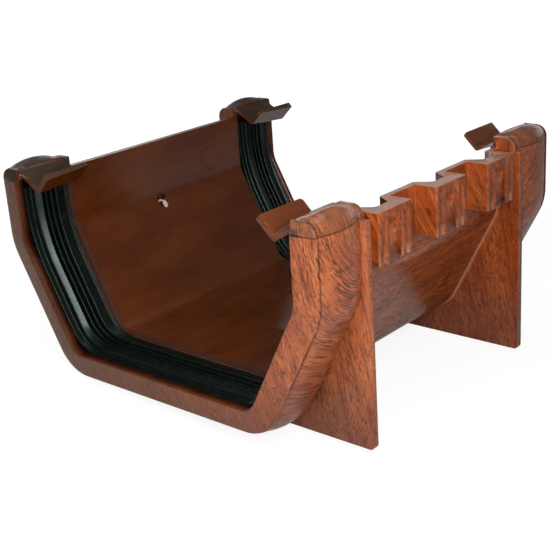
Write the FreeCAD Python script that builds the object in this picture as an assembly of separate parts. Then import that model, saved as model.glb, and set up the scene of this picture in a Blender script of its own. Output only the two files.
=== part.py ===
import FreeCAD, Part
import math
import os

# Gutter union bracket for 114 mm square-line gutter, all lengths in mm.
# X runs across the gutter with the fascia at +X, Y runs along the gutter, Z is up.
# Section positions use n, the distance outward from the mouth lip, and s, the distance in from the mouth.

# Mouth lip: vertical sides, sloping lower sides and a flat floor
GUTTER_WIDTH = 114.0
GUTTER_CLEARANCE = 2.5
MOUTH_HALF = GUTTER_WIDTH / 2 + GUTTER_CLEARANCE
RIM_Z = 72.3
BEND_Z = 51.0
LIP_FLOOR_Z = 14.0
LIP_FLOOR_HALF = 40.0
BEND_R = 10.0
CORNER_R = 6.0
HALF_LENGTH = 66.6

# Bell: end wall, bulged skin and rear shoulder round a seal channel
END_WALL = 3.2
END_FACE_FALL = 1.1
END_FACE_WIDTH = 7.2
BELL_OFFSET = 8.5
SEAM_S = 2.4
SEAM_STEP = 0.35
BELL_BULGE = 1.5
CHANNEL_OFFSET = 6.8
CHANNEL_BEVEL = 1.6
REAR_WALL = 2.3
BELL_LENGTH = 24.0
CHANNEL_END_S = BELL_LENGTH - REAR_WALL
LIP_BEVEL = 0.5
RIM_BEVEL = 0.3
SHOULDER_LENGTH = 1.4
SHOULDER_DROP = 1.2
REAR_RIM_OFFSET = 8.1

# Middle trough wall, inside and outside the lip line
TROUGH_IN = -1.1
TROUGH_OUT = 2.2
TROUGH_END_BEVEL = 1.2

# Cap that rolls the bell's skin over the gutter rim, its bulge running out at the clip
CAP_AXIS = 4.5
CROWN_BULGE = 0.1

# Snap clip: an arm falling from the cap to a V, and a thumb tab rising from it
CLIP_START_S = 3.2
CLIP_THICKNESS = 2.2
CLIP_REAR_THICKNESS = 1.1
CLIP_ROOT_IN = 2.2
ARM_DROP = 4.6
ARM_RUN = 7.7
ARM_TOP_GAP = 0.45
TAB_RISE = 4.7
TAB_RUN = 4.7
CLIP_FILLET = 1.0
TAB_CORNER_R = 1.2

# Fixing wall: flush with the trough's outside, with three screw boxes that reach the fascia plane
FASCIA_X = MOUTH_HALF + BELL_OFFSET + BELL_BULGE
FIXING_WALL = 2.1
BOX_COUNT = 3
BOX_PITCH = 30.4
BOX_WIDTH = 16.8
BOX_BOTTOM_Z = 56.4
BOX_FACE = 4.6
BOX_FLOOR = 2.4
BOX_EDGE_R = 0.5
POCKET_MOUTH = 14.0
POCKET_BACK = 6.4
POCKET_R = 1.5
RECESS_DEPTH = 1.0
RECESS_TOP_MARGIN = 2.5
CENTRE_RECESS = 6.3
SIDE_RECESS = 1.4
SIDE_RECESS_AT = 5.7
SCREW_HOLE_D = 4.6
SCREW_BELOW_RIM = 6.2

# Stiffening fins in the plane of each bell's rear wall
FIN_THICKNESS = REAR_WALL
FIN_INNER_X = 20.0
FIN_TOP_DROP = 0.7
FIN_CORNER_R = 1.5
FIN_ROOT = 1.2

# Moulding details on the inside
GATE_Y = -2.7
GATE_Z = 49.8
GATE_R = 2.4
GATE_DEPTH = 1.3
LINE_Y = 15.5
LINE_WIDTH = 0.8
LINE_HEIGHT = 0.4
LINE_HALF = 24.0
LINE_ROOT = 0.5
CUT_MARGIN = 1.0

# Rubber seal: a ribbed strip in the channel from clip to clip, bent more gently than the lip
SEAL_CLEARANCE = 0.3
SEAL_TOP_DROP = 3.0
SEAL_BEND_R = 50.0
SEAL_CORNER_R = 14.0
SEAL_EDGE = 0.7
SEAL_BAND = 1.6
SEAL_BROAD_N = -2.2
SEAL_BROAD_WIDTH = 3.4
SEAL_BROAD_TIP = 2.4
SEAL_NARROW_N = -1.6
SEAL_NARROW_WIDTH = 1.0
SEAL_NARROW_PITCH = 2.2
SEAL_NARROW_COUNT = 3
SEAL_ROOT_N = 0.8

Y_AXIS = FreeCAD.Vector(0, 1, 0)
SLOPE = math.degrees(math.atan2(MOUTH_HALF - LIP_FLOOR_HALF, BEND_Z - LIP_FLOOR_Z))


def point(n, s):
    """A profile point: n outward, s along the gutter from the mouth plane at -Y."""
    return FreeCAD.Vector(n, s - HALF_LENGTH, 0)


def face_of(edges):
    return Part.Face(Part.Wire(edges))


def straight(points):
    """Line edges through the given profile points."""
    return [Part.makeLine(a, b) for a, b in zip(points, points[1:])]


def curve(a, b, c):
    return Part.Arc(a, b, c).toShape()


def at_station(face, x, z, turn):
    """Stand a profile at lip point (x, z), its outward side turned down by the given degrees."""
    placed = face.copy()
    placed.rotate(FreeCAD.Vector(0, 0, 0), Y_AXIS, turn)
    placed.translate(FreeCAD.Vector(x, 0, z))
    return placed


def along_lip(face, top_z, corner_r=CORNER_R, bend_r=BEND_R):
    """Carry a profile along the right half of the lip line, from mid floor up to top_z."""
    slope = math.radians(SLOPE)
    rise = FreeCAD.Vector(math.sin(slope), 0, math.cos(slope))
    corner_t = corner_r * math.tan((math.pi / 2 - slope) / 2)
    bend_t = bend_r * math.tan(slope / 2)
    corner_x = LIP_FLOOR_HALF - corner_t
    slant_start = FreeCAD.Vector(LIP_FLOOR_HALF, 0, LIP_FLOOR_Z) + rise * corner_t
    slant_end = FreeCAD.Vector(MOUTH_HALF, 0, BEND_Z) - rise * bend_t
    wall_start = BEND_Z + bend_t

    floor_face = at_station(face, 0, LIP_FLOOR_Z, 90)
    corner_face = at_station(face, corner_x, LIP_FLOOR_Z, 90)
    slant_face = at_station(face, slant_start.x, slant_start.z, SLOPE)
    bend_face = at_station(face, slant_end.x, slant_end.z, SLOPE)
    wall_face = at_station(face, MOUTH_HALF, wall_start, 0)

    corner_axis = FreeCAD.Vector(corner_x, 0, LIP_FLOOR_Z + corner_r)
    bend_axis = FreeCAD.Vector(MOUTH_HALF - bend_r, 0, wall_start)
    runs = [
        floor_face.extrude(FreeCAD.Vector(corner_x, 0, 0)),
        corner_face.revolve(corner_axis, Y_AXIS, SLOPE - 90),
        slant_face.extrude(slant_end - slant_start),
        bend_face.revolve(bend_axis, Y_AXIS, -SLOPE),
        wall_face.extrude(FreeCAD.Vector(0, 0, top_z - wall_start)),
    ]
    return runs[0].multiFuse(runs[1:])


def both_sides(half):
    """Join a right half to its mirror image across the gutter."""
    other = half.mirror(FreeCAD.Vector(0, 0, 0), FreeCAD.Vector(1, 0, 0))
    return half.fuse(other).removeSplitter()


def bell_profile(inner_n, bulge):
    """The bell's wall cut along the gutter, from inner_n outward: mouth wall, bulged skin and rear wall."""
    skin_start = point(BELL_OFFSET - SEAM_STEP, SEAM_S)
    skin_top = point(BELL_OFFSET + bulge, BELL_LENGTH / 2)
    skin_end = point(BELL_OFFSET, CHANNEL_END_S - SHOULDER_LENGTH)
    shoulder_mid = point(BELL_OFFSET - 0.3 * SHOULDER_DROP, CHANNEL_END_S - 0.3 * SHOULDER_LENGTH)
    shoulder_end = point(BELL_OFFSET - SHOULDER_DROP, CHANNEL_END_S)
    face_edge = point(END_FACE_WIDTH, END_FACE_FALL)
    face_round = point((END_FACE_WIDTH + 3 * BELL_OFFSET) / 4, (3 * END_FACE_FALL + SEAM_S) / 4)

    if inner_n > 0:
        face_s = END_FACE_FALL * (inner_n - LIP_BEVEL) / (END_FACE_WIDTH - LIP_BEVEL)
        front = [point(inner_n, face_s)]
        rear = [point(inner_n, BELL_LENGTH), point(inner_n, CHANNEL_END_S)]
        mouth = [point(inner_n, END_WALL)]
    else:
        front = [point(0, LIP_BEVEL), point(LIP_BEVEL, 0)]
        rear = [
            point(TROUGH_IN, BELL_LENGTH),
            point(TROUGH_IN, CHANNEL_END_S + TROUGH_END_BEVEL),
            point(TROUGH_IN + TROUGH_END_BEVEL, CHANNEL_END_S),
        ]
        mouth = [point(0, END_WALL)]
    rear_rim = [
        point(REAR_RIM_OFFSET - RIM_BEVEL, CHANNEL_END_S),
        point(REAR_RIM_OFFSET, CHANNEL_END_S + RIM_BEVEL),
        point(REAR_RIM_OFFSET, BELL_LENGTH - RIM_BEVEL),
        point(REAR_RIM_OFFSET - RIM_BEVEL, BELL_LENGTH),
    ]
    channel = [
        point(CHANNEL_OFFSET - CHANNEL_BEVEL, CHANNEL_END_S),
        point(CHANNEL_OFFSET, CHANNEL_END_S - CHANNEL_BEVEL),
        point(CHANNEL_OFFSET, END_WALL),
    ]
    edges = straight(front + [face_edge, face_round, point(BELL_OFFSET, SEAM_S), skin_start])
    edges += [curve(skin_start, skin_top, skin_end)]
    edges += straight([skin_end, shoulder_mid, shoulder_end] + rear_rim + rear + channel + mouth + front[:1])
    return face_of(edges)


def bell_half():
    """Right half of the near bell, with the cap rolled over the gutter rim and its snap clip."""
    walls = along_lip(bell_profile(TROUGH_IN, BELL_BULGE), RIM_Z)
    axis = FreeCAD.Vector(MOUTH_HALF + CAP_AXIS, 0, RIM_Z)
    cap_face = at_station(bell_profile(CAP_AXIS, BELL_BULGE), MOUTH_HALF, RIM_Z, 0)
    corner = cap_face.revolve(axis, Y_AXIS, -90)
    outer = cap_face.OuterWire
    outer.rotate(axis, Y_AXIS, -90)
    inner = at_station(bell_profile(CAP_AXIS, CROWN_BULGE), MOUTH_HALF, RIM_Z, 0).OuterWire
    inner.rotate(axis, Y_AXIS, -90)
    inner.translate(FreeCAD.Vector(-CAP_AXIS, 0, 0))
    crown = Part.makeLoft([outer, inner], True, True)
    return walls.multiFuse([corner, crown, clip()])


def clip_section(s, thickness):
    """The clip's V outline at distance s from the mouth: root, arm, groove, tab tip and back underneath."""
    arm = math.atan2(ARM_DROP, ARM_RUN)
    tab = math.atan2(TAB_RISE, TAB_RUN)
    y = s - HALF_LENGTH
    crown_z = RIM_Z + BELL_OFFSET - SEAM_STEP - CAP_AXIS
    arm_top = FreeCAD.Vector(MOUTH_HALF, y, crown_z - ARM_TOP_GAP)
    groove = arm_top - FreeCAD.Vector(ARM_RUN, 0, ARM_DROP)
    tip = groove + FreeCAD.Vector(-TAB_RUN, 0, TAB_RISE)
    arm_low = arm_top + FreeCAD.Vector(math.sin(arm), 0, -math.cos(arm)) * thickness
    tip_low = tip - FreeCAD.Vector(math.sin(tab), 0, math.cos(tab)) * thickness
    lean = (arm - tab) / 2
    depth = thickness / math.cos((arm + tab) / 2)
    vee = groove + FreeCAD.Vector(math.sin(lean), 0, -math.cos(lean)) * depth
    root_top = arm_top + FreeCAD.Vector(CLIP_ROOT_IN, 0, 0)
    root_low = FreeCAD.Vector(root_top.x, y, arm_low.z)
    return [root_top, arm_top, groove, tip, tip_low, vee, arm_low, root_low]


def clip():
    """Right-hand snap clip of the near bell: full thickness at the mouth, thinner towards the trough."""
    mouth = clip_section(CLIP_START_S, CLIP_THICKNESS)
    rear = clip_section(CHANNEL_END_S, CLIP_REAR_THICKNESS)
    wires = [Part.Wire(straight(outline + outline[:1])) for outline in (mouth, rear)]
    strip = Part.makeLoft(wires, True, True)

    def edges_between(shape, a, b):
        wanted = {(round(v.x, 3), round(v.y, 3), round(v.z, 3)) for v in (a, b)}
        found = []
        for edge in shape.Edges:
            ends = {(round(v.X, 3), round(v.Y, 3), round(v.Z, 3)) for v in edge.Vertexes}
            if ends == wanted:
                found.append(edge)
        return found

    strip = strip.makeFillet(TAB_CORNER_R, edges_between(strip, rear[3], rear[4]))
    return strip.makeFillet(CLIP_FILLET, edges_between(strip, mouth[5], rear[5]))


def trough():
    """The middle trough between the bells' rear walls; its fascia side stops under the fixing wall."""
    start = CHANNEL_END_S + TROUGH_END_BEVEL
    ends = (start, 2 * HALF_LENGTH - start)
    corners = [
        point(TROUGH_IN, ends[0]),
        point(TROUGH_OUT, ends[0]),
        point(TROUGH_OUT, ends[1]),
        point(TROUGH_IN, ends[1]),
    ]
    section = face_of(straight(corners + corners[:1]))
    fascia_side = along_lip(section, BOX_BOTTOM_Z)
    front_side = along_lip(section, RIM_Z).mirror(FreeCAD.Vector(0, 0, 0), FreeCAD.Vector(1, 0, 0))
    return fascia_side.fuse(front_side)


def fin():
    """One fin: fills from the trough's outside to the fascia plane, in the near bell's rear wall plane."""
    slope = math.radians(SLOPE)
    inside = (TROUGH_OUT + TROUGH_IN) / 2
    corner_x = LIP_FLOOR_HALF + inside * math.tan((math.pi / 2 - slope) / 2)
    corner_z = LIP_FLOOR_Z - inside
    bend_x = MOUTH_HALF + inside
    bend_z = BEND_Z - inside * math.tan(slope / 2)
    top = RIM_Z - FIN_TOP_DROP
    outline = [
        (FIN_INNER_X, corner_z),
        (FIN_INNER_X, 0),
        (FASCIA_X, 0),
        (FASCIA_X, top),
        (bend_x, top),
        (bend_x, bend_z),
        (corner_x, corner_z),
    ]
    near_y = CHANNEL_END_S - HALF_LENGTH
    points = [FreeCAD.Vector(x, near_y, z) for x, z in outline]
    plate = face_of(straight(points + points[:1])).extrude(Y_AXIS * FIN_THICKNESS)
    corners = [e for e in plate.Edges
               if abs(e.Length - FIN_THICKNESS) < 0.01 and e.CenterOfMass.z < 0.01]
    return plate.makeFillet(FIN_CORNER_R, corners)


def fin_root():
    """The sloping root that eases the near fin into the trough's outside."""
    corners = [
        point(TROUGH_OUT, BELL_LENGTH),
        point(TROUGH_OUT + FIN_ROOT, BELL_LENGTH),
        point(TROUGH_OUT, BELL_LENGTH + FIN_ROOT),
    ]
    return along_lip(face_of(straight(corners + corners[:1])), BOX_BOTTOM_Z)


def box_at(x0, x1, y, width, z0, z1):
    """A block between two X and two Z levels, centred on y."""
    corner = FreeCAD.Vector(x0, y - width / 2, z0)
    return Part.makeBox(x1 - x0, width, z1 - z0, corner)


def prism(plan, z0, z1):
    """A plan outline of (x, y) points drawn up between two Z levels."""
    points = [FreeCAD.Vector(x, y, z0) for x, y in plan]
    return face_of(straight(points + points[:1])).extrude(FreeCAD.Vector(0, 0, z1 - z0))


def upright_edges(solid, x):
    """The vertical edges of a solid that stand at the given X."""
    return [e for e in solid.Edges
            if all(abs(v.X - x) < 0.001 for v in e.Vertexes) and abs(e.BoundBox.YLength) < 0.001]


def fixing_wall():
    """The stepped wall with its screw boxes, pockets, face recesses and screw holes."""
    run_out = MOUTH_HALF + TROUGH_OUT
    run_in = run_out - FIXING_WALL
    end_y = HALF_LENGTH - CHANNEL_END_S
    box_ys = [(i - (BOX_COUNT - 1) / 2) * BOX_PITCH for i in range(BOX_COUNT)]
    plan = [(run_in, -end_y), (run_out, -end_y)]
    for y in box_ys:
        near, far = y - BOX_WIDTH / 2, y + BOX_WIDTH / 2
        plan += [(run_out, near), (FASCIA_X, near), (FASCIA_X, far), (run_out, far)]
    plan += [(run_out, end_y), (run_in, end_y)]
    wall = prism(plan, BOX_BOTTOM_Z, RIM_Z)
    wall = wall.makeFillet(BOX_EDGE_R, upright_edges(wall, FASCIA_X))

    cuts = []
    pocket_x = FASCIA_X - BOX_FACE
    recess_x = FASCIA_X - RECESS_DEPTH
    recess_top = RIM_Z - RECESS_TOP_MARGIN
    recesses = ((-SIDE_RECESS_AT, SIDE_RECESS), (0, CENTRE_RECESS), (SIDE_RECESS_AT, SIDE_RECESS))
    for y in box_ys:
        pocket_plan = [
            (run_in - CUT_MARGIN, y - POCKET_MOUTH / 2),
            (pocket_x, y - POCKET_BACK / 2),
            (pocket_x, y + POCKET_BACK / 2),
            (run_in - CUT_MARGIN, y + POCKET_MOUTH / 2),
        ]
        pocket = prism(pocket_plan, BOX_BOTTOM_Z + BOX_FLOOR, RIM_Z + CUT_MARGIN)
        cuts.append(pocket.makeFillet(POCKET_R, upright_edges(pocket, pocket_x)))
        for offset, width in recesses:
            cuts.append(box_at(recess_x, FASCIA_X + CUT_MARGIN, y + offset, width,
                               BOX_BOTTOM_Z - CUT_MARGIN, recess_top))
        hole_at = FreeCAD.Vector(pocket_x - CUT_MARGIN, y, RIM_Z - SCREW_BELOW_RIM)
        hole_length = BOX_FACE + 2 * CUT_MARGIN
        cuts.append(Part.makeCylinder(SCREW_HOLE_D / 2, hole_length, hole_at, FreeCAD.Vector(1, 0, 0)))
    return wall.cut(Part.makeCompound(cuts))


def floor_lines():
    """Raised lines across the trough floor that show how far each gutter end goes in."""
    floor_z = LIP_FLOOR_Z - TROUGH_IN
    low = floor_z - LINE_ROOT
    high = floor_z + LINE_HEIGHT
    return [box_at(-LINE_HALF, LINE_HALF, y, LINE_WIDTH, low, high) for y in (-LINE_Y, LINE_Y)]


def gate_dimple():
    """The moulding gate's dimple on the inside of the front wall, at the bend."""
    wall_x = -(MOUTH_HALF + TROUGH_IN)
    apex = FreeCAD.Vector(wall_x - GATE_DEPTH, GATE_Y, GATE_Z)
    length = GATE_DEPTH + CUT_MARGIN
    return Part.makeCone(GATE_R * 0.4, GATE_R, length, apex, FreeCAD.Vector(1, 0, 0))


def union_body():
    near = both_sides(bell_half()).multiFuse([fin(), fin_root()])
    far = near.mirror(FreeCAD.Vector(0, 0, 0), Y_AXIS)
    body = trough().multiFuse([near, far, fixing_wall()] + floor_lines())
    return body.cut(gate_dimple()).removeSplitter()


def rib(start, width, tip_n, tip_width):
    """Profile points of one seal rib: sloping flanks up to a flat tip, or to a point if it has no width."""
    flank = (width - tip_width) / 2
    tip = [point(tip_n, start + flank)]
    if tip_width > 0:
        tip.append(point(tip_n, start + width - flank))
    return [point(SEAL_ROOT_N, start)] + tip + [point(SEAL_ROOT_N, start + width)]


def seal_profile():
    """The seal's section: a flat back, two thin edges, a broad flat rib and narrow pointed ribs."""
    start = END_WALL + SEAL_CLEARANCE
    end = CHANNEL_END_S - SEAL_CLEARANCE
    at = start + SEAL_EDGE + SEAL_BAND
    back_bevel = CHANNEL_BEVEL + SEAL_CLEARANCE
    points = [
        point(CHANNEL_OFFSET, start + back_bevel),
        point(CHANNEL_OFFSET - back_bevel, start),
        point(0, start),
        point(0, start + SEAL_EDGE),
        point(SEAL_ROOT_N, start + SEAL_EDGE),
    ]
    points += rib(at, SEAL_BROAD_WIDTH, SEAL_BROAD_N, SEAL_BROAD_TIP)
    at += SEAL_BROAD_WIDTH
    for i in range(SEAL_NARROW_COUNT):
        at += SEAL_NARROW_PITCH
        points += rib(at - SEAL_NARROW_WIDTH, SEAL_NARROW_WIDTH, SEAL_NARROW_N, 0)
    points += [
        point(SEAL_ROOT_N, end - SEAL_EDGE),
        point(0, end - SEAL_EDGE),
        point(0, end),
        point(CHANNEL_OFFSET - back_bevel, end),
        point(CHANNEL_OFFSET, end - back_bevel),
        point(CHANNEL_OFFSET, start + back_bevel),
    ]
    return face_of(straight(points))


def seal():
    """The near bell's seal."""
    return both_sides(along_lip(seal_profile(), RIM_Z - SEAL_TOP_DROP, SEAL_CORNER_R, SEAL_BEND_R))


def main():
    os.makedirs("parts", exist_ok=True)
    near_seal = seal()
    far_seal = near_seal.copy()
    far_seal.translate(Y_AXIS * (2 * HALF_LENGTH - END_WALL - CHANNEL_END_S))
    parts = {"union_body": union_body(), "near_seal": near_seal, "far_seal": far_seal}
    for name, shape in parts.items():
        shape.exportStep("parts/%s.step" % name)


main()
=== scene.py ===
import math

import bmesh
import bpy
from mathutils import Matrix, Vector


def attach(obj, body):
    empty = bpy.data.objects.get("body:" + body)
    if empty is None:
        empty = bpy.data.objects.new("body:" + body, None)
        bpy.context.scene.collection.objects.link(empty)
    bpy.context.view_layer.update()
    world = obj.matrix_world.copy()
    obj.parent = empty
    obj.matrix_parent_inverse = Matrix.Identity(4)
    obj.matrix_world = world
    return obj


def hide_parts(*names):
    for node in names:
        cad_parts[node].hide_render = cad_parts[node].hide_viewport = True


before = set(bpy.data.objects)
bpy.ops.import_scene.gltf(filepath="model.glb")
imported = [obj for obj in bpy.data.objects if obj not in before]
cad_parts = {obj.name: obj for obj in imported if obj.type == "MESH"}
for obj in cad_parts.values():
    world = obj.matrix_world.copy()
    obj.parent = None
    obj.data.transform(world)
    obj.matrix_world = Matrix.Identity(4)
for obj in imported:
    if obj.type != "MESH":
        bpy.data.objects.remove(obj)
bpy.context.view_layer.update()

# Sizes in mm, in the part's frame: X across the gutter with the fascia at +X, Y along it, Z up
MM = 0.001
MOUTH_HALF = 59.5
RIM_Z = 72.3
BEND_Z = 51.0
LIP_FLOOR_Z = 14.0
LIP_FLOOR_HALF = 40.0
HALF_LENGTH = 66.6
SEAM_S = 2.4
CLIP_LOW_Z = 70.5

# Rubber seal strip, across its width from the mouth edge
SEAL_START_S = 3.5
SEAL_WIDTH = 17.9
SEAL_BACK_N = 6.8
SEAL_ROOT_N = 0.8
SEAL_TOP_Z = 69.3
SEAL_SHIFT_Y = 108.3
SEAL_BEND_R = 50.0
SEAL_CORNER_R = 14.0

# Film: the bells' rear faces along Y and the top of the trough wall under the boxes, where it changes
BELL_REAR_Y = 42.6
WALL_TOP_Z = 58.0

# Grain: its rate of change along the streaks next to across them, its fineness on the trough wall next to the rest,
# and the point above each bell's rear that it curls round
GRAIN_STRETCH = 0.06
WALL_GRAIN = 0.8
CURL_Y = 41.0
CURL_Z = 75.0
CURL_R = 25.0

# Marks on the inside of the front wall: the gate and an ejector pin's ring
GATE_Y = -2.7
GATE_Z = 49.8
GATE_R = 2.4
RING_Y = 26.2
RING_Z = 59.9
RING_R = 4.6

# Floor under the part as it settles: on the fins' inner corners and the front of the bells
REST_TILT = 4.0
REST_X = 20.0

# Floor: how white it is to the camera near the part and in reflections, how far out in metres that fades to full
# white, its glow, and its colour to the eye and in the light that it sends back
FLOOR_WHITE = 0.75
FLOOR_GLOSS = 0.08
FLOOR_FADE_FROM = 0.13
FLOOR_FADE_TO = 0.5
FLOOR_GLOW = 1.19
FLOOR_PAPER = (0.92, 0.92, 0.91, 1)
FLOOR_BOUNCE = (0.38, 0.38, 0.37, 1)
FLOOR_HALF = 6.0

# Room: the side that its backdrop stands on, and the light of the backdrop and of the rest
BACKDROP_WAY = (-0.65, 0.76, 0.0)
BACKDROP_LIGHT = 1.0
ROOM_LIGHT = 0.1

# Softboxes: place, aim and side in mm, and power in watts
SOFTBOXES = {
    "key_softbox": ((200, -170, 190), (30, -30, 40), 90, 0.21),
    "side_softbox": ((185, -155, 100), (40, -40, 40), 110, 0.175),
    "fill_softbox": ((54, -271, 220), (0, 0, 40), 160, 0.195),
    "top_softbox": ((23, 50, 455), (0, 0, 40), 300, 0.25),
    "front_softbox": ((-300, 90, 110), (-40, 0, 30), 220, 0.38),
}

# Camera fitted to the photograph's view
CAMERA_AT = (240.83, -277.16, 161.86)
CAMERA_RIGHT = (0.7619, 0.6444, -0.0649)
CAMERA_UP = (-0.1734, 0.2995, 0.9382)
CAMERA_LENS = 71.385


def srgb(red, green, blue):
    """A colour read from a picture, 0 to 255, as the linear colour that a shader takes."""
    def linear(value):
        value = value / 255
        return value / 12.92 if value <= 0.04045 else ((value + 0.055) / 1.055) ** 2.4
    return (linear(red), linear(green), linear(blue), 1.0)


# Film colours
FILM_LIGHT = srgb(222, 114, 51)
FILM_DARK = srgb(192, 86, 33)
FILM_CLOUD = srgb(150, 72, 36)
FILM_ON_BELL = srgb(188, 132, 102)
BAY_PAINTED_SHADE = srgb(96, 36, 12)
LOW_PAINTED_SHADE = srgb(92, 57, 36)
FILM_FIGURE = srgb(116, 50, 22)
FILM_STREAK = srgb(62, 26, 12)
FRONT_END_PAINTED_SHADE = srgb(112, 76, 27)
FRONT_END_SHADE_SPECK = srgb(78, 50, 19)
FILM_LINE = srgb(70, 29, 15)
CAP_DULL = srgb(118, 80, 58)
CAP_PAINTED_SHADE = srgb(46, 33, 14)
WEAR_AND_HIGHLIGHT = srgb(204, 138, 98)
BOX_TOP_PAINTED_REFLECTION = srgb(192, 150, 120)
FRONT_RIM_PAINTED_SHADE = srgb(58, 40, 20)

# Bare plastic colours
BARE = srgb(108, 53, 21)
BARE_FLOW = srgb(92, 42, 14)
BARE_HAZE = srgb(120, 66, 31)
CLIP_PAINTED_LIGHT = srgb(128, 66, 34)
BARE_SCUFF = srgb(150, 92, 62)
SEAL_END_PAINTED_SHADE = srgb(56, 22, 7)
GATE_PAINTED_SHADE = srgb(48, 17, 7)
GATE_PAINTED_GLINT = srgb(240, 225, 212)
PIN_RING = srgb(56, 24, 9)

# Rubber colours
RUBBER = srgb(10, 17, 13)
RUBBER_DUST = srgb(20, 28, 23)
RUBBER_SPECK = srgb(62, 64, 59)
RUBBER_SHINE = (0.8, 1.0, 0.95, 1)


class NodeBench:
    """Adds nodes to a tree. An input given as a socket is linked, and any other value is set."""

    def __init__(self, tree):
        self.tree = tree

    def add(self, kind, inputs=None, **settings):
        node = self.tree.nodes.new(kind)
        for name, value in settings.items():
            setattr(node, name, value)
        for key, value in (inputs or {}).items():
            socket = node.inputs[key]
            if isinstance(value, bpy.types.NodeSocket):
                self.tree.links.new(value, socket)
            else:
                socket.default_value = value
        return node

    def math(self, operation, a, b=0.0):
        return self.add("ShaderNodeMath", {0: a, 1: b}, operation=operation).outputs[0]

    def product(self, first, *others):
        for other in others:
            first = self.math("MULTIPLY", first, other)
        return first

    def vector(self, operation, a, b=(0.0, 0.0, 0.0)):
        return self.add("ShaderNodeVectorMath", {0: a, 1: b}, operation=operation).outputs[0]

    def combine(self, x, y, z):
        return self.add("ShaderNodeCombineXYZ", {0: x, 1: y, 2: z}).outputs[0]

    def split(self, vector):
        return self.add("ShaderNodeSeparateXYZ", {0: vector}).outputs


class FinishBench(NodeBench):
    """Node bench for one surface finish, with positions in mm."""

    def __init__(self, name):
        self.material = bpy.data.materials.new(name)
        self.material.use_nodes = True
        super().__init__(self.material.node_tree)
        self.surface = self.tree.nodes["Principled BSDF"]
        self.coords = self.add("ShaderNodeTexCoord")
        scaled = self.add("ShaderNodeVectorMath", {0: self.coords.outputs["Object"], 3: 1 / MM}, operation="SCALE")
        self.position = scaled.outputs[0]

    def noise(self, vector, scale, detail=2.0, roughness=0.5, colour=False):
        node = self.add("ShaderNodeTexNoise", {"Vector": vector, "Scale": scale, "Detail": detail,
                                               "Roughness": roughness})
        return node.outputs[1 if colour else 0]

    def step(self, value, low, high, to_low=0.0, to_high=1.0):
        """A soft step of a value between two levels."""
        return self.add("ShaderNodeMapRange", {0: value, 1: low, 2: high, 3: to_low, 4: to_high},
                        interpolation_type="SMOOTHSTEP").outputs[0]

    def blend(self, factor, a, b):
        """A mix of two colours."""
        return self.add("ShaderNodeMix", {0: factor, 6: a, 7: b}, data_type="RGBA").outputs[2]

    def fade(self, factor, a, b):
        """A mix of two numbers."""
        return self.add("ShaderNodeMix", {0: factor, 2: a, 3: b}, data_type="FLOAT").outputs[0]

    def bump(self, height, depth_mm, normal=None):
        inputs = {"Height": height, "Distance": depth_mm * MM, "Strength": 1.0}
        if normal is not None:
            inputs["Normal"] = normal
        return self.add("ShaderNodeBump", inputs).outputs[0]

    def soft_edges(self, radius_mm, samples=6):
        """The surface's direction with its edges rounded, and how near an outer edge a point is."""
        rounded = self.add("ShaderNodeBevel", {"Radius": radius_mm * MM}, samples=samples).outputs[0]
        plain = self.add("ShaderNodeNewGeometry").outputs["Normal"]
        match = self.add("ShaderNodeVectorMath", {0: rounded, 1: plain}, operation="DOT_PRODUCT").outputs["Value"]
        return rounded, self.step(match, 0.995, 0.8)

    def finish(self, colour, roughness, normal):
        for name, socket in (("Base Color", colour), ("Roughness", roughness), ("Normal", normal)):
            self.tree.links.new(socket, self.surface.inputs[name])
        return self.material


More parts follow.
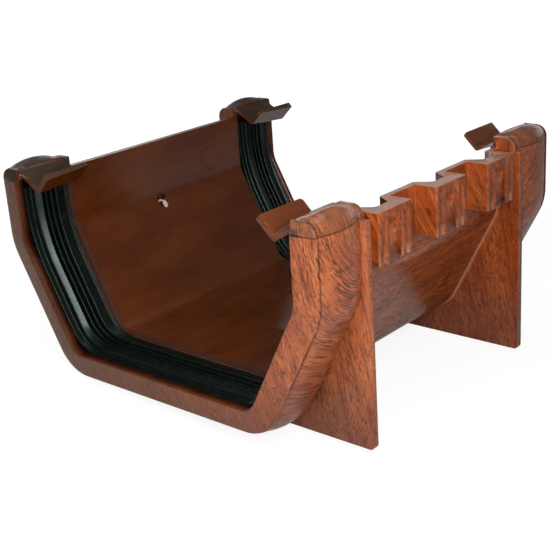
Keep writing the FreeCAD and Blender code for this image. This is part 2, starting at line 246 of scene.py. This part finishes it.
def rosewood_print():
    """Rosewood film on the outside: orange-brown with fine dark streaks, wrapped round the moulding."""
    b = FinishBench("rosewood_print")
    x, y, z = b.split(b.position)
    normal = b.split(b.coords.outputs["Normal"])
    along_y = b.math("ABSOLUTE", y)
    slope = b.math("ABSOLUTE", normal[1])
    end_on = b.step(slope, 0.6, 0.8)
    on_bell = b.step(along_y, BELL_REAR_Y + 0.1, BELL_REAR_Y + 0.3)
    between_bells = b.step(along_y, BELL_REAR_Y + 0.3, BELL_REAR_Y + 0.1)
    under_boxes = b.step(z, WALL_TOP_Z + 0.5, WALL_TOP_Z - 0.5)
    front = b.step(x, 20.0, -60.0)

    # The grain wanders slowly and shivers a little
    wander = b.vector("SUBTRACT", b.noise(b.position, 0.05, 1.0, colour=True), (0.5, 0.5, 0.5))
    shiver = b.vector("SUBTRACT", b.noise(b.position, 0.22, 1.0, colour=True), (0.5, 0.5, 0.5))
    bent = b.vector("ADD", b.position, b.vector("MULTIPLY", wander, (4.0, 4.0, 4.0)))
    bent = b.vector("ADD", bent, b.vector("MULTIPLY", shiver, (0.5, 0.5, 0.5)))
    bx, by, bz = b.split(bent)

    # Upright faces: steep on the fins, leaning on the end faces and raked on the boxes
    fin_or_end = b.fade(b.step(along_y, 46.0, 52.0), 0.2, 0.32)
    lean = b.math("MULTIPLY", z, b.fade(b.step(along_y, 40.0, 42.0), 0.65, fin_or_end))
    climb = b.math("MULTIPLY", bz, GRAIN_STRETCH)
    upright_end = b.combine(b.math("ADD", bx, lean), by, climb)
    upright_side = b.combine(bx, b.math("ADD", by, lean), climb)

    # Bell sides: the grain curls round under the rim
    out = b.math("SUBTRACT", b.math("ABSOLUTE", by), CURL_Y)
    down = b.math("SUBTRACT", CURL_Z, bz)
    radius = b.math("SQRT", b.math("ADD", b.math("MULTIPLY", out, out), b.math("MULTIPLY", down, down)))
    round_curl = b.math("MULTIPLY", b.math("ARCTAN2", out, down), CURL_R * GRAIN_STRETCH)
    curled = b.combine(radius, b.math("MULTIPLY", bx, GRAIN_STRETCH), round_curl)

    # Trough wall below the boxes and at the front, and the bells' undersides: the grain is coarser and lengthwise
    lengthwise = b.vector("MULTIPLY", bent, (WALL_GRAIN, WALL_GRAIN * GRAIN_STRETCH, WALL_GRAIN))
    below = b.math("MAXIMUM", under_boxes, b.step(x, 5.0, -5.0))
    underside = b.step(b.math("MULTIPLY", normal[2], -1.0), 0.8, 0.95)
    on_wall = b.product(b.step(along_y, BELL_REAR_Y - 0.2, BELL_REAR_Y - 0.4), below)
    on_wall = b.math("MAXIMUM", on_wall, underside)

    def grain_on(mask, a, c):
        return b.add("ShaderNodeMix", {0: mask, 4: a, 5: c}, data_type="VECTOR").outputs[1]

    side = grain_on(on_wall, grain_on(on_bell, upright_side, curled), lengthwise)
    grain = grain_on(end_on, side, upright_end)

    streaks = b.noise(grain, 4.8, 1.0, 0.5)
    figure = b.noise(grain, 1.0, 2.0, 0.6)
    bands = b.noise(grain, 0.2, 2.0, 0.5)
    crowd = b.noise(bent, 0.1, 2.0, 0.5)
    clouds = b.noise(b.position, 0.045, 3.0, 0.5)
    colour = b.blend(b.step(bands, 0.36, 0.64), FILM_LIGHT, FILM_DARK)
    colour = b.blend(b.product(b.step(clouds, 0.42, 0.66), 0.35), colour, FILM_CLOUD)

    # Under the streaks the film is paler on the bells; painted shade makes it deeper between the fins, where the bay
    # lies in shade, and darker and browner towards the bottom
    in_bay = b.product(between_bells, under_boxes, b.step(x, 5.0, 12.0))
    colour = b.blend(b.product(on_bell, 0.3), colour, FILM_ON_BELL)
    colour = b.blend(b.product(in_bay, 0.22), colour, BAY_PAINTED_SHADE)
    colour = b.blend(b.product(b.step(z, 34.0, 4.0), 0.42), colour, LOW_PAINTED_SHADE)

    # The figure and the streaks, which crowd together in places
    colour = b.blend(b.product(b.step(figure, 0.46, 0.64), 0.56), colour, FILM_FIGURE)
    crowded = b.math("ADD", streaks, b.product(b.math("SUBTRACT", crowd, 0.5), 0.24))
    streak_mask = b.step(crowded, 0.525, 0.61)
    colour = b.blend(b.product(streak_mask, 0.85), colour, FILM_STREAK)

    # Painted shade: at the front of the ends, away from the lights, the film is painted a darker, flatter brown with
    # speckles
    specks = b.noise(b.position, 1.6, 3.0, 0.6)
    front_end_shade = b.blend(b.step(specks, 0.42, 0.6), FRONT_END_PAINTED_SHADE, FRONT_END_SHADE_SPECK)
    colour = b.blend(b.product(front, end_on, 0.75), colour, front_end_shade)

    # Over the rim the film is dulled down to the clips, and painted shade darkens it at the front
    wavy_z = b.math("ADD", z, b.product(b.math("SUBTRACT", bz, z), 0.06))
    on_arm = b.product(b.step(b.math("ABSOLUTE", x), MOUTH_HALF - 0.1, MOUTH_HALF - 0.3),
                       b.step(z, CLIP_LOW_Z - 0.6, CLIP_LOW_Z))
    over_rim = b.math("MAXIMUM", b.step(wavy_z, RIM_Z - 0.1, RIM_Z + 0.1), on_arm)
    cap_mask = b.product(over_rim, on_bell)
    colour = b.blend(b.product(cap_mask, 0.5), colour, CAP_DULL)
    colour = b.blend(b.product(cap_mask, front, 0.82), colour, CAP_PAINTED_SHADE)

    # Fine lines under the caps and along the seams
    cap_line = b.step(b.math("ABSOLUTE", b.math("SUBTRACT", wavy_z, RIM_Z)), 0.4, 0.1)
    seam = b.math("ABSOLUTE", b.math("SUBTRACT", along_y, HALF_LENGTH - SEAM_S))
    lines = b.math("MAXIMUM", b.product(cap_line, on_bell), b.step(seam, 0.5, 0.15))
    colour = b.blend(b.product(lines, 0.75), colour, FILM_LINE)

    # Edges pale with wear, and on the boxes pale as painted highlights; painted highlights along the fins' roots;
    # painted reflection on the boxes' top rims; and painted shade on the rims and edges along the front
    rounded, edge = b.soft_edges(0.4)
    scuffs = b.step(b.noise(b.position, 0.6, 3.0, 0.6), 0.5, 0.62)
    upper = b.step(z, 55.0, 60.0)
    facing_up = b.step(normal[2], 0.4, 0.7)
    on_boxes = b.product(b.step(x, 50.0, 55.0), upper, between_bells)
    fin_root = b.product(b.step(slope, 0.3, 0.45), b.step(slope, 0.95, 0.85), between_bells, b.step(z, 60.0, 58.0))
    # Every edge of the boxes and the fins' roots get painted highlights; elsewhere the pale edges are scuffed wear
    edge_wear_and_highlight = b.product(edge, b.fade(on_boxes, b.fade(scuffs, 0.3, 0.65), 0.75))
    colour = b.blend(b.math("MAXIMUM", edge_wear_and_highlight, b.product(fin_root, 0.7)), colour, WEAR_AND_HIGHLIGHT)
    # Painted reflection: the boxes' top faces are painted paler, as a reflection of the backdrop
    colour = b.blend(b.product(on_boxes, facing_up, 0.45), colour, BOX_TOP_PAINTED_REFLECTION)
    # Painted shade: the top faces and edges along the front are painted dark
    front_rim = b.product(b.math("MAXIMUM", edge, facing_up), b.step(x, -45.0, -50.0), upper)
    colour = b.blend(b.product(front_rim, 0.8), colour, FRONT_RIM_PAINTED_SHADE)

    # The gloss is lower in the streaks and at the front, and higher between the fins and on the rear caps
    cloudy = b.product(b.math("SUBTRACT", clouds, 0.5), 0.1)
    rough = b.fade(cap_mask, b.fade(in_bay, b.fade(streak_mask, 0.27, 0.38), 0.2), b.fade(front, 0.1, 0.35))
    rough = b.fade(front_rim, b.math("ADD", rough, cloudy), 0.5)
    relief = b.math("SUBTRACT", specks, b.product(streak_mask, 0.6))
    return b.finish(colour, rough, b.bump(relief, 0.03, rounded))


def plain_moulding():
    """Bare glossy brown plastic of the trough's inside and the clips, with faint flow marks."""
    b = FinishBench("plain_moulding")
    x, y, z = b.split(b.position)
    along_y = b.math("ABSOLUTE", y)
    flow = b.vector("MULTIPLY", b.position, (1.0, 0.35, 1.0))
    marks = b.noise(flow, 0.09, 3.0, 0.55)
    haze = b.noise(b.position, 0.5, 4.0, 0.6)
    colour = b.blend(b.step(marks, 0.35, 0.68), BARE, BARE_FLOW)
    colour = b.blend(b.product(b.step(haze, 0.5, 0.72), 0.25), colour, BARE_HAZE)
    # Painted light: the clips on the fascia side are painted paler, where the light falls on them; those at the front
    # keep the base colour
    on_clip = b.product(b.step(z, CLIP_LOW_Z - 1.5, CLIP_LOW_Z), b.step(along_y, BELL_REAR_Y - 0.6, BELL_REAR_Y - 0.2))
    colour = b.blend(b.product(on_clip, b.step(x, -20.0, 20.0, 0.0, 0.6)), colour, CLIP_PAINTED_LIGHT)

    # On the front wall: painted shade in the gate's dimple, a painted glint low in it, and the ring of an ejector pin
    in_front = b.step(x, -50.0, -52.0)

    def reach(middle_y, middle_z, half_y, half_z):
        """How far a point of the front wall is from a spot's middle, as a share of the spot's size."""
        across = b.math("DIVIDE", b.math("SUBTRACT", y, middle_y), half_y)
        upward = b.math("DIVIDE", b.math("SUBTRACT", z, middle_z), half_z)
        return b.math("SQRT", b.math("ADD", b.product(across, across), b.product(upward, upward)))

    hollow = b.product(b.step(reach(GATE_Y, GATE_Z, GATE_R, GATE_R), 1.15, 0.95), in_front)
    colour = b.blend(b.product(hollow, 0.8), colour, GATE_PAINTED_SHADE)
    gate_glint = b.product(b.step(reach(GATE_Y + 0.75, GATE_Z - 1.6, 1.2, 1.5), 1.0, 0.75), in_front)
    colour = b.blend(gate_glint, colour, GATE_PAINTED_GLINT)
    off_ring = b.math("ABSOLUTE", b.math("SUBTRACT", reach(RING_Y, RING_Z, 1.0, 1.0), RING_R))
    ring = b.product(b.step(off_ring, 0.45, 0.1), in_front)
    colour = b.blend(b.product(ring, 0.5), colour, PIN_RING)

    # Scuffed edges, and painted shade on the trough's ends beside the seals, where the plastic is also rougher
    rounded, edge = b.soft_edges(0.2)
    scuffs = b.step(b.noise(b.position, 0.7, 3.0, 0.6), 0.48, 0.62)
    colour = b.blend(b.product(edge, scuffs, 0.2), colour, BARE_SCUFF)
    at_seal = b.product(b.step(along_y, BELL_REAR_Y + 0.4, BELL_REAR_Y + 0.8),
                        b.step(along_y, BELL_REAR_Y + 3.0, BELL_REAR_Y + 2.6), b.step(z, 69.0, 68.0))
    colour = b.blend(b.product(at_seal, 0.7), colour, SEAL_END_PAINTED_SHADE)
    rough = b.math("ADD", 0.18, b.product(b.math("SUBTRACT", haze, 0.4), 0.22))
    rough = b.fade(at_seal, rough, 0.75)
    relief = b.math("ADD", b.product(marks, 2.0), b.product(haze, 0.25))
    relief = b.math("SUBTRACT", relief, b.product(ring, 0.8))
    return b.finish(colour, rough, b.bump(relief, 0.05, rounded))


def seal_rubber():
    """Satin black extruded rubber with a green cast and a little dust."""
    b = FinishBench("seal_rubber")
    dust = b.noise(b.position, 0.35, 4.0, 0.65)
    specks = b.noise(b.position, 3.0, 2.0, 0.5)
    colour = b.blend(b.step(dust, 0.45, 0.7), RUBBER, RUBBER_DUST)
    colour = b.blend(b.product(b.step(specks, 0.64, 0.74), 0.3), colour, RUBBER_SPECK)
    b.surface.inputs["Specular Tint"].default_value = RUBBER_SHINE
    rounded = b.soft_edges(0.15, 4)[0]
    rough = b.math("ADD", 0.22, b.product(dust, 0.12))
    return b.finish(colour, rough, b.bump(specks, 0.012, rounded))


def lip_offset(x, z):
    """How far a point is outside the lip line, in mm, and the outward direction there."""
    run = MOUTH_HALF - LIP_FLOOR_HALF
    rise = BEND_Z - LIP_FLOOR_Z
    length = math.hypot(run, rise)
    side = 1 if x >= 0 else -1
    sides = (
        (abs(x) - MOUTH_HALF, Vector((side, 0, 0))),
        (((abs(x) - MOUTH_HALF) * rise - (z - BEND_Z) * run) / length, Vector((side * rise, 0, -run)) / length),
        (LIP_FLOOR_Z - z, Vector((0, 0, -1))),
    )
    return max(sides, key=lambda entry: entry[0])


def is_bare(face):
    """Whether the film stops short of a face: the inside and the clips."""
    centre = face.calc_center_median() / MM
    offset, outward = lip_offset(centre.x, centre.z)
    faces_in = offset < 8 and face.normal.dot(outward) < -0.25
    arm_top = centre.z > CLIP_LOW_Z and face.normal.z > 0.6 and face.normal.x * centre.x < 0
    return (offset < -0.2 or faces_in) and not arm_top


def link(name, mesh):
    piece = bpy.data.objects.new(name, mesh)
    bpy.context.scene.collection.objects.link(piece)
    return piece


def applied(piece):
    """The piece with its modifiers made part of its mesh."""
    ready = piece.evaluated_get(bpy.context.evaluated_depsgraph_get())
    mesh = bpy.data.meshes.new_from_object(ready)
    piece.modifiers.clear()
    piece.data = mesh
    return piece


def moulded_body(film, bare):
    """The moulding: the CAD surface merged, with film outside and bare plastic inside."""
    mesh = bpy.data.meshes.new("bracket_moulding")
    work = bmesh.new()
    work.from_mesh(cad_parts["union_body"].data)
    bmesh.ops.remove_doubles(work, verts=work.verts, dist=0.002 * MM)
    work.normal_update()
    for face in work.faces:
        face.smooth = True
        face.material_index = 1 if is_bare(face) else 0
    work.to_mesh(mesh)
    work.free()
    mesh.materials.append(film)
    mesh.materials.append(bare)
    mesh.set_sharp_from_angle(angle=math.radians(28))
    body = link("bracket_moulding", mesh)
    even = body.modifiers.new("even_shading", "WEIGHTED_NORMAL")
    even.keep_sharp = True
    return applied(body)


def seal_tree(rubber):
    """Node tree that sweeps a ribbed strip along a lip line whose points carry their corner radius."""
    tree = bpy.data.node_groups.new("seal_strip", "GeometryNodeTree")
    b = NodeBench(tree)
    tree.interface.new_socket("Lip Line", in_out="INPUT", socket_type="NodeSocketGeometry")
    tree.interface.new_socket("Strip", in_out="OUTPUT", socket_type="NodeSocketGeometry")
    sizes = {
        "Strip Width": SEAL_WIDTH, "Root Offset": SEAL_ROOT_N, "Back Offset": SEAL_BACK_N, "Back Bevel": 1.9,
        "Edge Width": 0.7, "Edge Height": 0.8,
        "Broad Rib Foot": 2.8, "Broad Rib Crest": 5.2, "Broad Rib Back": 5.7, "Broad Rib Height": 3.0,
        "Broad Rib Slope": 0.53, "Broad Rib Curve": 0.03,
        "Narrow Rib Start": 7.4, "Narrow Rib Pitch": 2.2, "Narrow Rib Last": 2.0, "Narrow Rib Width": 1.0,
        "Narrow Rib Height": 2.4,
    }
    for name in sizes:
        tree.interface.new_socket(name, in_out="INPUT", socket_type="NodeSocketFloat")
    given = b.add("NodeGroupInput").outputs

    # Lip line with its corners rounded
    radius = b.add("GeometryNodeInputNamedAttribute", {"Name": "corner_radius"}, data_type="FLOAT").outputs[0]
    line = b.add("GeometryNodeMeshToCurve", {0: given["Lip Line"]}).outputs[0]
    path = b.add("GeometryNodeFilletCurve", {"Curve": line, "Radius": radius, "Count": 10, "Limit Radius": False},
                 mode="POLY").outputs[0]

    # Strip section: x is the offset out from the lip, y runs across the strip
    depth = b.math("SUBTRACT", given["Back Offset"], given["Root Offset"])
    blank = b.add("GeometryNodeCurvePrimitiveQuadrilateral",
                  {"Width": depth, "Height": given["Strip Width"]}).outputs[0]
    middle = b.combine(b.math("ADD", given["Root Offset"], b.math("MULTIPLY", depth, 0.5)),
                       b.math("MULTIPLY", given["Strip Width"], 0.5), 0.0)
    blank = b.add("GeometryNodeSetPosition", {"Geometry": blank, "Offset": middle}).outputs[0]
    place = b.split(b.add("GeometryNodeInputPosition").outputs[0])
    at_back = b.math("GREATER_THAN", place[0], b.math("ADD", given["Root Offset"], 0.1))
    blank = b.add("GeometryNodeFilletCurve", {"Curve": blank, "Count": 3, "Limit Radius": False,
                                              "Radius": b.math("MULTIPLY", at_back, given["Back Bevel"])},
                  mode="POLY").outputs[0]
    blank = b.add("GeometryNodeResampleCurve", {"Curve": blank, "Length": 0.16}, mode="LENGTH").outputs[0]

    def rib(distance, width, height, flatness):
        """Height of a rib at a distance from its middle, with a rounder or a flatter top."""
        share = b.math("DIVIDE", distance, b.math("MULTIPLY", width, 0.5))
        fall = b.math("MAXIMUM", b.math("SUBTRACT", 1.0, b.math("POWER", share, flatness)), 0.0)
        return b.math("MULTIPLY", b.math("SQRT", fall), height)

    across = place[1]
    short = b.math("MAXIMUM", b.math("SUBTRACT", given["Broad Rib Crest"], across), 0.0)
    slope = b.math("ADD", given["Broad Rib Slope"], b.math("MULTIPLY", short, given["Broad Rib Curve"]))
    broad = b.math("SUBTRACT", given["Broad Rib Height"], b.math("MULTIPLY", short, slope))
    broad = b.math("MINIMUM", broad, b.math("MULTIPLY", b.math("SUBTRACT", across, given["Broad Rib Foot"]), 5.0))
    broad = b.math("MINIMUM", broad, b.math("MULTIPLY", b.math("SUBTRACT", given["Broad Rib Back"], across), 6.0))
    broad = b.math("MAXIMUM", broad, 0.0)
    turn = b.math("DIVIDE", b.math("SUBTRACT", across, given["Narrow Rib Start"]), given["Narrow Rib Pitch"])
    nearest = b.math("MINIMUM", b.math("MAXIMUM", b.math("ROUND", turn), 0.0), given["Narrow Rib Last"])
    away = b.math("MULTIPLY", b.math("ABSOLUTE", b.math("SUBTRACT", turn, nearest)), given["Narrow Rib Pitch"])
    narrow = rib(away, given["Narrow Rib Width"], given["Narrow Rib Height"], 2.0)
    half_width = b.math("MULTIPLY", given["Strip Width"], 0.5)
    to_middle = b.math("ABSOLUTE", b.math("SUBTRACT", across, half_width))
    edge_middle = b.math("SUBTRACT", half_width, b.math("MULTIPLY", given["Edge Width"], 0.5))
    edge = rib(b.math("ABSOLUTE", b.math("SUBTRACT", to_middle, edge_middle)),
               given["Edge Width"], given["Edge Height"], 3.0)
    raised = b.math("MAXIMUM", b.math("MAXIMUM", broad, narrow), edge)
    at_front = b.math("LESS_THAN", place[0], b.math("ADD", given["Root Offset"], 0.01))
    lift = b.combine(b.math("MULTIPLY", b.math("MULTIPLY", raised, at_front), -1.0), 0.0, 0.0)
    section = b.add("GeometryNodeSetPosition", {"Geometry": blank, "Offset": lift}).outputs[0]
    section = b.add("GeometryNodeTransform", {"Geometry": section, "Rotation": (0.0, 0.0, math.pi)}).outputs[0]

    strip = b.add("GeometryNodeCurveToMesh", {"Curve": path, "Profile Curve": section, "Fill Caps": True}).outputs[0]
    strip = b.add("GeometryNodeSetShadeSmooth", {0: strip}).outputs[0]
    strip = b.add("GeometryNodeRealizeInstances", {0: strip}).outputs[0]
    strip = b.add("GeometryNodeSetMaterial", {"Geometry": strip, "Material": rubber}).outputs[0]
    b.add("NodeGroupOutput", {0: strip})
    return tree, sizes


def seal_strip(name, tree, sizes, start_y):
    """One rubber seal, swept along the lip line and set in its bell."""
    corners = [
        (-MOUTH_HALF, SEAL_TOP_Z, 0.0), (-MOUTH_HALF, BEND_Z, SEAL_BEND_R),
        (-LIP_FLOOR_HALF, LIP_FLOOR_Z, SEAL_CORNER_R), (LIP_FLOOR_HALF, LIP_FLOOR_Z, SEAL_CORNER_R),
        (MOUTH_HALF, BEND_Z, SEAL_BEND_R), (MOUTH_HALF, SEAL_TOP_Z, 0.0),
    ]
    mesh = bpy.data.meshes.new(name)
    mesh.from_pydata([(x, 0, z) for x, z, radius in corners], [(i, i + 1) for i in range(5)], [])
    mesh.attributes.new("corner_radius", "FLOAT", "POINT").data.foreach_set("value", [c[2] for c in corners])
    seal = link(name, mesh)
    sweep = seal.modifiers.new("sweep", "NODES")
    sweep.node_group = tree
    for item in tree.interface.items_tree:
        if item.name in sizes:
            sweep[item.identifier] = sizes[item.name]
    applied(seal)
    seal.data.transform(Matrix.Translation((0, start_y * MM, 0)) @ Matrix.Scale(MM, 4))
    return seal


def studio_floor():
    """Pale floor as the part settles on it, with its shadow kept and fading to white further out."""
    material = bpy.data.materials.new("studio_floor")
    material.use_nodes = True
    b = NodeBench(material.node_tree)
    b.tree.nodes.clear()
    ray = b.add("ShaderNodeLightPath").outputs
    reach = b.vector("MULTIPLY", b.add("ShaderNodeTexCoord").outputs["Object"], (1.0, 1.0, 0.0))
    reach = b.add("ShaderNodeVectorMath", {0: reach}, operation="LENGTH").outputs["Value"]
    white = b.add("ShaderNodeMapRange", {0: reach, 1: FLOOR_FADE_FROM, 2: FLOOR_FADE_TO, 3: FLOOR_WHITE, 4: 1.0},
                  interpolation_type="SMOOTHSTEP").outputs[0]
    seen = b.math("MAXIMUM", b.product(ray["Is Camera Ray"], white), b.product(ray["Is Glossy Ray"], FLOOR_GLOSS))
    tint = b.add("ShaderNodeMix", {0: ray["Is Diffuse Ray"], 6: FLOOR_PAPER, 7: FLOOR_BOUNCE},
                 data_type="RGBA").outputs[2]
    paper = b.add("ShaderNodeBsdfDiffuse", {"Color": tint}).outputs[0]
    glow = b.add("ShaderNodeEmission", {"Color": (1, 1, 1, 1), "Strength": FLOOR_GLOW}).outputs[0]
    mixed = b.add("ShaderNodeMixShader", {0: seen, 1: paper, 2: glow}).outputs[0]
    b.add("ShaderNodeOutputMaterial", {"Surface": mixed})
    mesh = bpy.data.meshes.new("studio_floor")
    tilt = math.tan(math.radians(REST_TILT))
    corners = [(FLOOR_HALF * i, FLOOR_HALF * j) for i, j in ((-1, -1), (1, -1), (1, 1), (-1, 1))]
    mesh.from_pydata([(x, y, -(x - REST_X * MM) * tilt) for x, y in corners], [], [(0, 1, 2, 3)])
    mesh.materials.append(material)
    floor = link("studio_floor", mesh)


def studio_world():
    """A white room seen directly. As light, it is a pale backdrop behind the part in a dim room."""
    world = bpy.data.worlds.new("studio_white")
    world.use_nodes = True
    b = NodeBench(world.node_tree)
    ray = b.add("ShaderNodeLightPath").outputs
    way = b.add("ShaderNodeTexCoord").outputs["Generated"]
    facing = b.add("ShaderNodeVectorMath", {0: way, 1: BACKDROP_WAY}, operation="DOT_PRODUCT").outputs["Value"]

    def edge(value, low, high):
        return b.add("ShaderNodeMapRange", {0: value, 1: low, 2: high}, interpolation_type="SMOOTHSTEP").outputs[0]

    backdrop = b.product(edge(facing, 0.3, 0.55), edge(b.split(way)[2], 0.38, 0.3))
    room = b.add("ShaderNodeMix", {0: backdrop, 2: ROOM_LIGHT, 3: BACKDROP_LIGHT}, data_type="FLOAT").outputs[0]
    strength = b.add("ShaderNodeMix", {0: ray["Is Camera Ray"], 2: room, 3: 1.0}, data_type="FLOAT").outputs[0]
    background = b.tree.nodes["Background"]
    background.inputs["Color"].default_value = (1, 1, 1, 1)
    b.tree.links.new(strength, background.inputs["Strength"])
    bpy.context.scene.world = world


def softbox(name, at_mm, aim_mm, side_mm, watts):
    light = bpy.data.lights.new(name, "AREA")
    light.size = side_mm * MM
    light.energy = watts
    lamp = link(name, light)
    lamp.location = Vector(at_mm) * MM
    lamp.rotation_euler = (Vector(aim_mm) - Vector(at_mm)).to_track_quat("-Z", "Y").to_euler()


def photo_camera():
    data = bpy.data.cameras.new("photo_camera")
    data.lens = CAMERA_LENS
    data.sensor_width = 36.0
    data.clip_start = 0.01
    camera = link("photo_camera", data)
    right = Vector(CAMERA_RIGHT).normalized()
    up = Vector(CAMERA_UP)
    up = (up - right * up.dot(right)).normalized()
    turn = Matrix((right, up, right.cross(up))).transposed().to_4x4()
    camera.matrix_world = Matrix.Translation(Vector(CAMERA_AT) * MM) @ turn
    bpy.context.scene.camera = camera


body = moulded_body(rosewood_print(), plain_moulding())
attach(body, "root")
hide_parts("union_body")

strip_tree, strip_sizes = seal_tree(seal_rubber())
first_y = SEAL_START_S - HALF_LENGTH
for node, start_y in (("near_seal", first_y), ("far_seal", first_y + SEAL_SHIFT_Y)):
    seal = seal_strip(node + "_strip", strip_tree, strip_sizes, start_y)
    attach(seal, "root")
    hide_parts(node)

studio_floor()
studio_world()
for name, (at_mm, aim_mm, side_mm, watts) in SOFTBOXES.items():
    softbox(name, at_mm, aim_mm, side_mm, watts)
photo_camera()
bpy.context.scene.view_settings.view_transform = "Standard"
